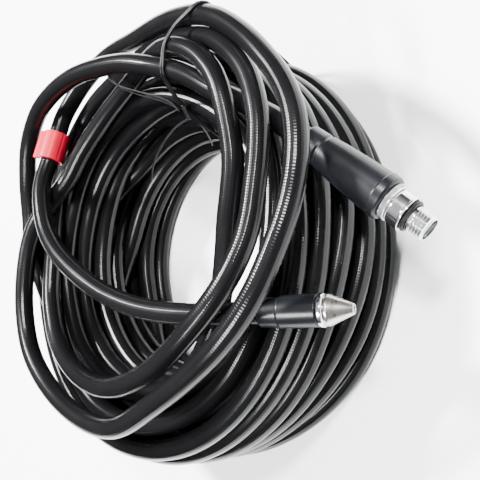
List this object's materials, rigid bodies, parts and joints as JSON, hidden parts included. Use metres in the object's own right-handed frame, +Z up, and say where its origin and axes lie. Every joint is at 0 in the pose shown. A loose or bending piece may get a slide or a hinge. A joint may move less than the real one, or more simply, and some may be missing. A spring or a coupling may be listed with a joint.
{
  "type": "drain jetting hose",
  "caption": "Coiled black hose with a swivelling threaded inlet coupling at one end, a spinning cone jet nozzle at the other, a red slide-on marker clip and a wire tie.",
  "frame": {"origin": "centre of the bounding box at floor level, under the coil", "axes": "+Z up along the axis of the coil, which lies flat; +X towards the side where both fittings point; +Y towards the wire tie"},
  "size_m": [0.2744, 0.2319, 0.1027],
  "materials": {
    "black_pvc": "satin black flexible PVC with a faint braid texture",
    "black_sleeve": "satin black",
    "chrome_steel": "bright plated steel",
    "satin_steel": "fine turned stainless steel",
    "nitrile_black": "matt black nitrile",
    "red_plastic": "semi-gloss red",
    "wire_coating": "black plastic coating over thin wire"
  },
  "bodies": {
    "hose": {"hose_coil": "black_pvc", "hose_outer_loop": "black_pvc", "hose_middle_loop": "black_pvc", "hose_inner_loop": "black_pvc", "hose_upper_loop": "black_pvc", "hose_nozzle_run": "black_pvc", "hose_inlet_run": "black_pvc", "inlet_hose_end": "black_pvc", "inlet_tail": "satin_steel", "inlet_ferrule": "satin_steel", "inlet_sleeve": "black_sleeve", "inlet_collar": "chrome_steel", "inlet_retaining_clip": "satin_steel", "inlet_swivel_bush": "satin_steel", "nozzle_hose_end": "black_pvc", "nozzle_tail": "satin_steel", "nozzle_ferrule": "satin_steel", "nozzle_sleeve": "black_sleeve", "nozzle_collar": "chrome_steel", "nozzle_retaining_clip": "satin_steel", "tie_wire": "wire_coating", "tie_wire_tail": "wire_coating"},
    "inlet_nipple": {"inlet_nipple": "chrome_steel", "inlet_o_ring": "nitrile_black"},
    "nozzle_head": {"nozzle_head": "satin_steel"},
    "marker_clip": {"marker_clip": "red_plastic"}
  },
  "joints": [
    {"name": "inlet_swivel", "type": "hinge", "parent": "hose", "child": "inlet_nipple", "pos_m": [0.12195, 0.02584, 0.05495], "axis": [0.8356, -0.4877, -0.2529], "continuous": true},
    {"name": "nozzle_spin", "type": "hinge", "parent": "hose", "child": "nozzle_head", "pos_m": [0.10254, -0.01818, 0.0666], "axis": [0.9111, 0.204, -0.3581], "continuous": true},
    {"name": "marker_slide", "type": "slide", "parent": "hose", "child": "marker_clip", "axis": [0.1204, -0.9631, 0.2408], "range_m": [-0.006, 0.006]}
  ]
}
